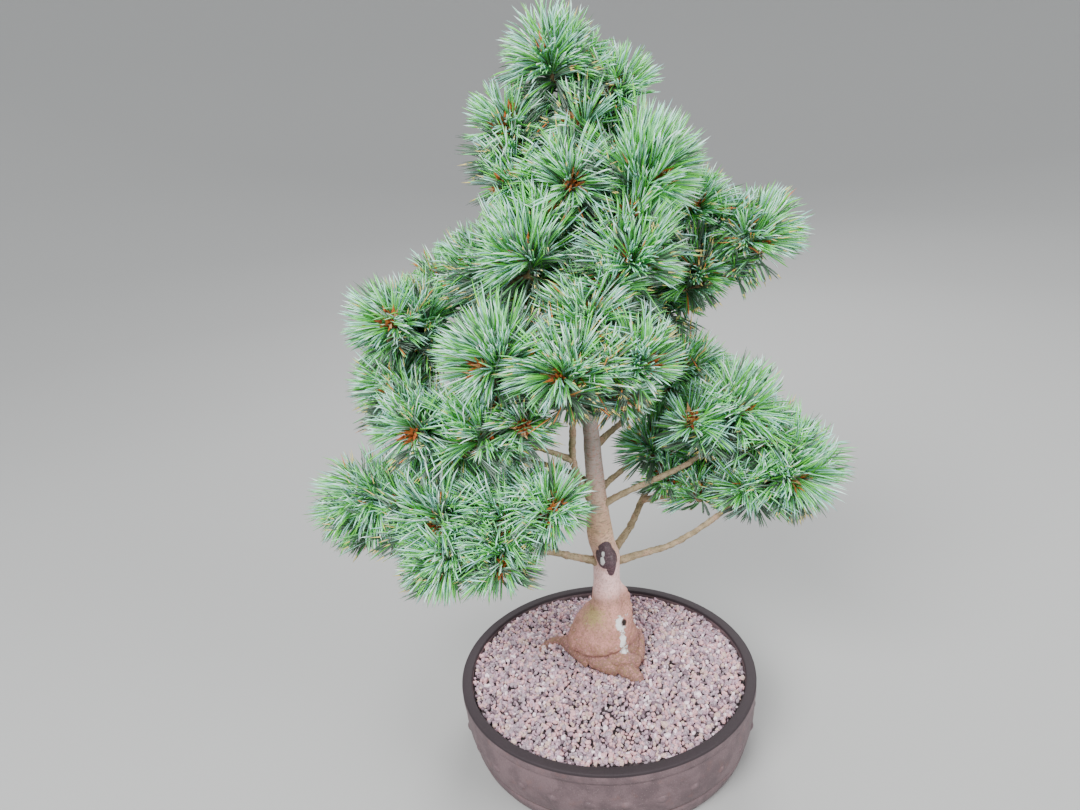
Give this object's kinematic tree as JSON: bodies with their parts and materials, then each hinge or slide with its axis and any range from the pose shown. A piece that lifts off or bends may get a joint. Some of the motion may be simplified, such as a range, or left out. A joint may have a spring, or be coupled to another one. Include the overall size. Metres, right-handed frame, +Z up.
{
  "type": "japanese white pine bonsai",
  "caption": "Young five-needle pine bonsai on a swollen grafted trunk, with tiered tufts of blue-green needles, in a round training pot filled with gravel.",
  "frame": {"origin": "middle of the pot's flat underside", "axes": "+Z up along the trunk, front of the tree toward -Y, +X to the right seen from the front"},
  "size_m": [0.5031, 0.3328, 0.7161],
  "materials": {
    "pot": "dark brown moulded pot, softly satin, mottled with red-brown",
    "gravel": "crushed pink-grey gravel of about 5 mm",
    "bark": "smooth young pine bark, olive-grey above and pinkish tan below",
    "needles": "five-needle pine foliage, green outside and blue-white inside, with orange-brown buds"
  },
  "bodies": {
    "root": {"pot": "pot", "gravel": "gravel", "trunk": "bark", "low_left_bough": "bark", "low_right_bough": "bark", "back_right_bough": "bark", "right_low_bough": "bark", "right_bough": "bark", "right_inner_bough": "bark", "back_left_bough": "bark", "front_stem": "bark", "left_bough": "bark", "back_bough": "bark", "right_back_bough": "bark", "back_high_bough": "bark", "front_left_bough": "bark", "left_high_bough": "bark", "back_mid_bough": "bark", "mid_right_bough": "bark", "low_left_foliage": "needles", "back_left_foliage": "needles", "far_right_foliage": "needles", "right_foliage": "needles", "right_low_foliage": "needles", "back_right_foliage": "needles", "right_inner_foliage": "needles", "right_back_foliage": "needles", "back_foliage": "needles", "left_foliage": "needles", "left_high_foliage": "needles", "front_left_foliage": "needles", "front_foliage": "needles", "back_high_foliage": "needles", "back_mid_foliage": "needles", "mid_right_foliage": "needles", "mid_front_foliage": "needles", "mid_left_foliage": "needles", "mid_back_foliage": "needles", "upper_right_foliage": "needles", "upper_left_foliage": "needles", "upper_front_foliage": "needles", "upper_back_foliage": "needles", "top_right_foliage": "needles", "apex_foliage": "needles"}
  },
  "joints": []
}
